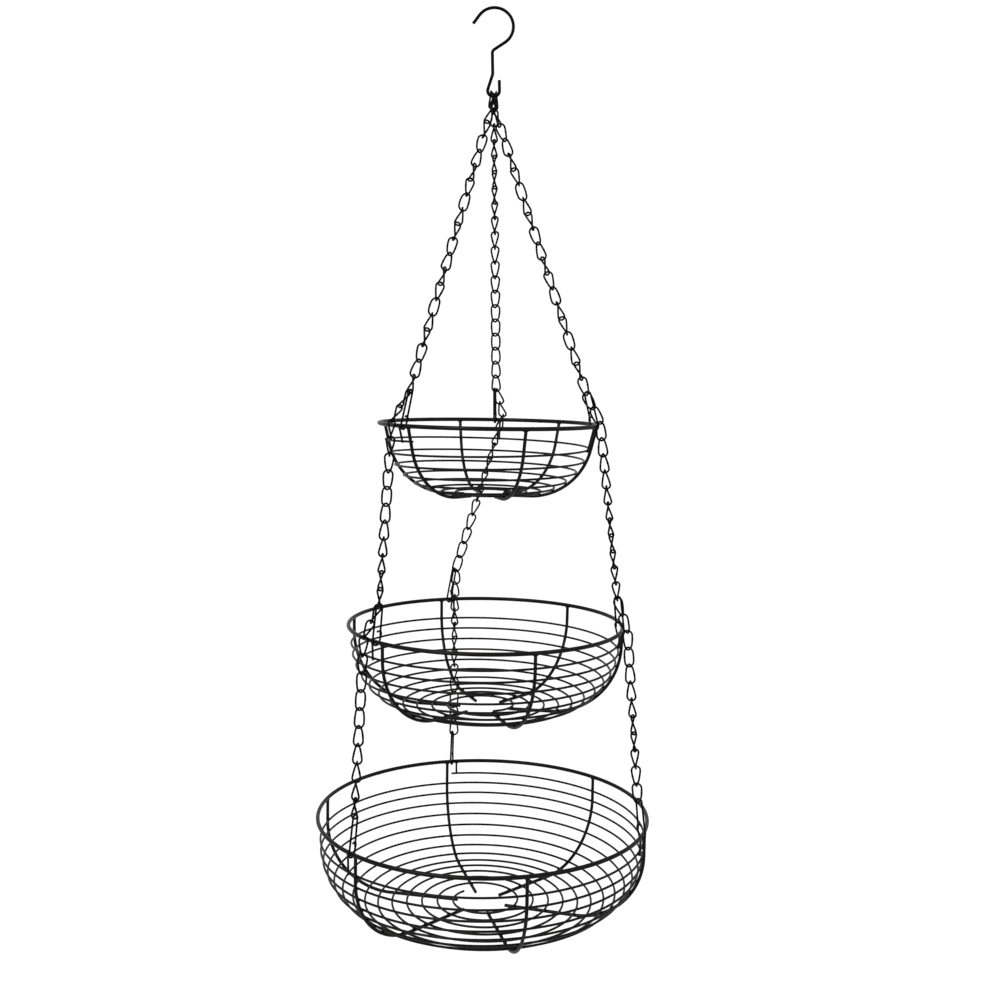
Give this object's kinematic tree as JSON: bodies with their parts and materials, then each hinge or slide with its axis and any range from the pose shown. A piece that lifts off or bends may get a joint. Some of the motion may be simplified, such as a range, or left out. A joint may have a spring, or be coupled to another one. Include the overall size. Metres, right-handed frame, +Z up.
{
  "type": "hanging wire basket",
  "caption": "Hanging tiered produce basket of black coated wire: spiral-wound round baskets that hang by snap clips from twisted-link chains below a crook hook.",
  "frame": {"origin": "the inside of the crook's top, where the hook rests on what it hangs from", "axes": "+Z up, along the line the basket hangs in; -Y towards the front; the crook lies in the XZ plane and opens towards -X"},
  "size_m": [0.3048, 0.3048, 0.8244],
  "materials": {
    "coated_wire": "satin black powder coat over steel wire",
    "chain_wire": "satin black enamel over steel wire"
  },
  "bodies": {
    "hook": {"top_hook": "coated_wire"},
    "top_links": {"top_links": "chain_wire"},
    "top_tier": {"top_bypass_back": "chain_wire", "top_bypass_left": "chain_wire", "top_bypass_right": "chain_wire", "top_clip_back": "chain_wire", "top_clip_left": "chain_wire", "top_clip_right": "chain_wire", "top_rib_1": "coated_wire", "top_rib_2": "coated_wire", "top_rib_3": "coated_wire", "top_rib_4": "coated_wire", "top_rib_5": "coated_wire", "top_rib_6": "coated_wire", "top_rim": "coated_wire", "top_spiral": "coated_wire", "top_stubs": "coated_wire", "upper_chain_back": "chain_wire", "upper_chain_left": "chain_wire", "upper_chain_right": "chain_wire"},
    "middle_leg_left": {"middle_chain_left": "chain_wire"},
    "middle_leg_right": {"middle_chain_right": "chain_wire"},
    "middle_leg_back": {"middle_chain_back": "chain_wire"},
    "middle_tier": {"middle_bypass_back": "chain_wire", "middle_bypass_left": "chain_wire", "middle_bypass_right": "chain_wire", "middle_clip_back": "chain_wire", "middle_clip_left": "chain_wire", "middle_clip_right": "chain_wire", "middle_rib_1": "coated_wire", "middle_rib_2": "coated_wire", "middle_rib_3": "coated_wire", "middle_rib_4": "coated_wire", "middle_rib_5": "coated_wire", "middle_rib_6": "coated_wire", "middle_rim": "coated_wire", "middle_spiral": "coated_wire", "middle_stubs": "coated_wire"},
    "bottom_leg_left": {"bottom_chain_left": "chain_wire"},
    "bottom_leg_right": {"bottom_chain_right": "chain_wire"},
    "bottom_leg_back": {"bottom_chain_back": "chain_wire"},
    "bottom_tier": {"bottom_clip_back": "chain_wire", "bottom_clip_left": "chain_wire", "bottom_clip_right": "chain_wire", "bottom_rib_1": "coated_wire", "bottom_rib_2": "coated_wire", "bottom_rib_3": "coated_wire", "bottom_rib_4": "coated_wire", "bottom_rib_5": "coated_wire", "bottom_rib_6": "coated_wire", "bottom_rim": "coated_wire", "bottom_spiral": "coated_wire", "bottom_stubs": "coated_wire"}
  },
  "joints": [
    {"name": "side_swing", "type": "hinge", "parent": "hook", "child": "top_links", "pos_m": [0, 0, -0.07387], "axis": [0, 1, 0], "range_deg": [-6, 6]},
    {"name": "front_swing", "type": "hinge", "parent": "top_links", "child": "top_tier", "pos_m": [0, 0, -0.09351], "axis": [1, 0, 0], "range_deg": [-3, 3]},
    {"name": "middle_swing", "type": "hinge", "parent": "top_tier", "child": "middle_leg_left", "pos_m": [-0.08314, -0.06683, -0.374], "axis": [0.0043, -0.9961, 0.0885], "range_deg": [-3, 3]},
    {"name": "middle_right_leg_hinge", "type": "hinge", "parent": "top_tier", "child": "middle_leg_right", "pos_m": [0.09954, -0.03764, -0.37389], "axis": [0.0044, -0.9993, -0.0358], "range_deg": [-3.06, 3.06]},
    {"name": "middle_back_leg_hinge", "type": "hinge", "parent": "top_tier", "child": "middle_leg_back", "pos_m": [0.01353, 0.10587, -0.37402], "axis": [-0.0205, -0.9974, -0.069], "range_deg": [-3.05, 3.05]},
    {"name": "middle_basket_hinge", "type": "hinge", "parent": "middle_leg_left", "child": "middle_tier", "pos_m": [-0.09045, -0.081, -0.53305], "axis": [-0.2956, 0.9497, -0.1033], "range_deg": [-2.62, 2.62]},
    {"name": "bottom_swing", "type": "hinge", "parent": "middle_tier", "child": "bottom_leg_left", "pos_m": [-0.10307, -0.08359, -0.55852], "axis": [0.0031, -0.9929, 0.1185], "range_deg": [-5, 5]},
    {"name": "bottom_right_leg_hinge", "type": "hinge", "parent": "middle_tier", "child": "bottom_leg_right", "pos_m": [0.1265, -0.04097, -0.55887], "axis": [-0.0054, -0.997, 0.0778], "range_deg": [-5.08, 5.08]},
    {"name": "bottom_back_leg_hinge", "type": "hinge", "parent": "middle_tier", "child": "bottom_leg_back", "pos_m": [-0.03316, 0.12923, -0.55996], "axis": [0.0004, -0.9953, -0.0969], "range_deg": [-5.11, 5.11]},
    {"name": "bottom_basket_hinge", "type": "hinge", "parent": "bottom_leg_left", "child": "bottom_tier", "pos_m": [-0.10695, -0.10138, -0.70744], "axis": [-0.0023, 0.992, -0.1259], "range_deg": [-4.76, 4.76]}
  ],
  "couplings": [
    {"joint": "middle_right_leg_hinge", "follows": "middle_swing", "ratio": 1.0028},
    {"joint": "middle_back_leg_hinge", "follows": "middle_swing", "ratio": 0.99917},
    {"joint": "middle_basket_hinge", "follows": "middle_swing", "ratio": 0.85703},
    {"joint": "bottom_right_leg_hinge", "follows": "bottom_swing", "ratio": 1.007},
    {"joint": "bottom_back_leg_hinge", "follows": "bottom_swing", "ratio": 1.0129},
    {"joint": "bottom_basket_hinge", "follows": "bottom_swing", "ratio": 0.94171}
  ]
}
